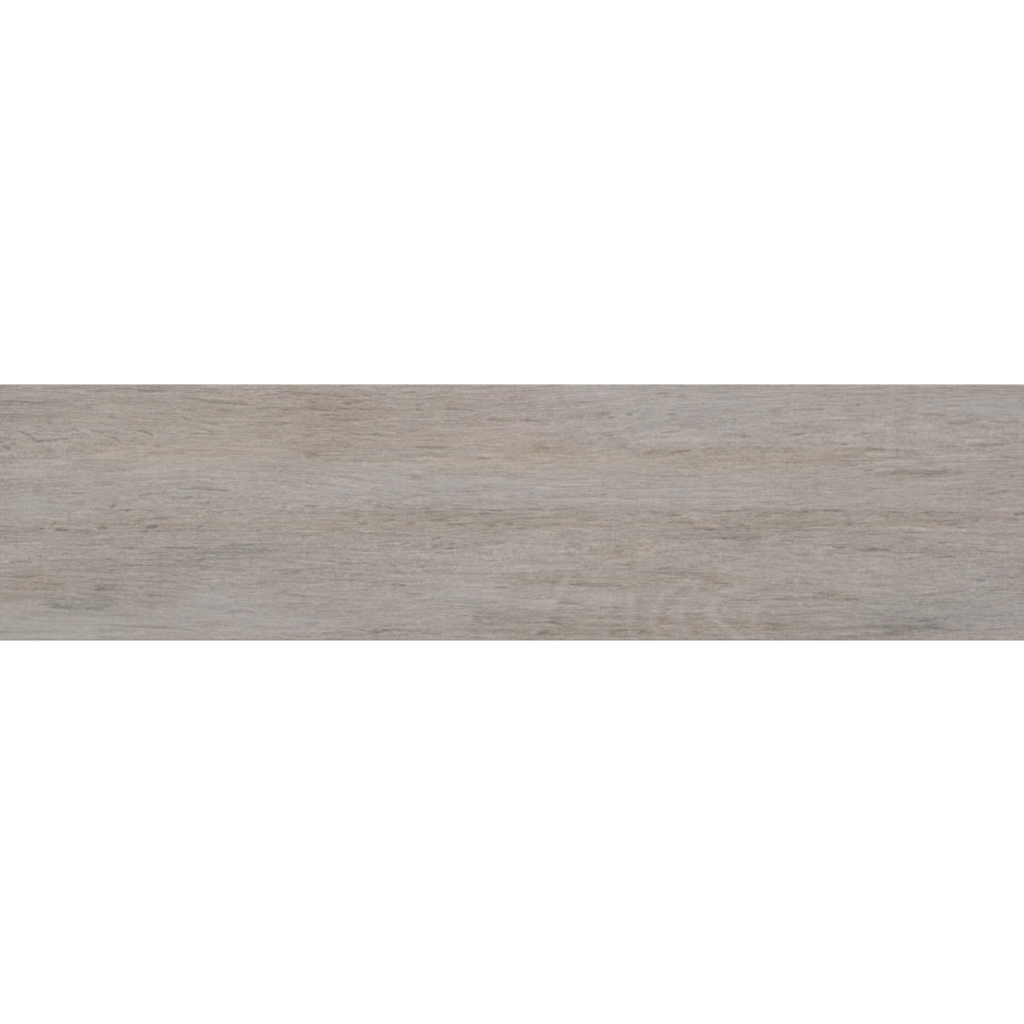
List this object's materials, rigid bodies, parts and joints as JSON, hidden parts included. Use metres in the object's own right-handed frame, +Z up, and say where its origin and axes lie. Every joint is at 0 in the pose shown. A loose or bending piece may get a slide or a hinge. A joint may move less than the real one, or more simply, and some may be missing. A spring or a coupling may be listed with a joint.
{
  "type": "wood-look porcelain floor tile",
  "caption": "Flat rectangular plank tile with a printed grey oak grain face, ground square edges and a ribbed back, bedded in adhesive as floor or wall covering.",
  "frame": {"origin": "middle of the bedding plane on the back, at the level of the rib tops", "axes": "+X along the plank's length, +Y across its width, +Z up from the back to the glazed face"},
  "size_m": [0.6, 0.15, 0.009],
  "materials": {
    "tile": "matt printed glaze with fine wood-grain relief, on a pale grey-beige fired body"
  },
  "bodies": {
    "root": {"tile": "tile"}
  },
  "joints": []
}
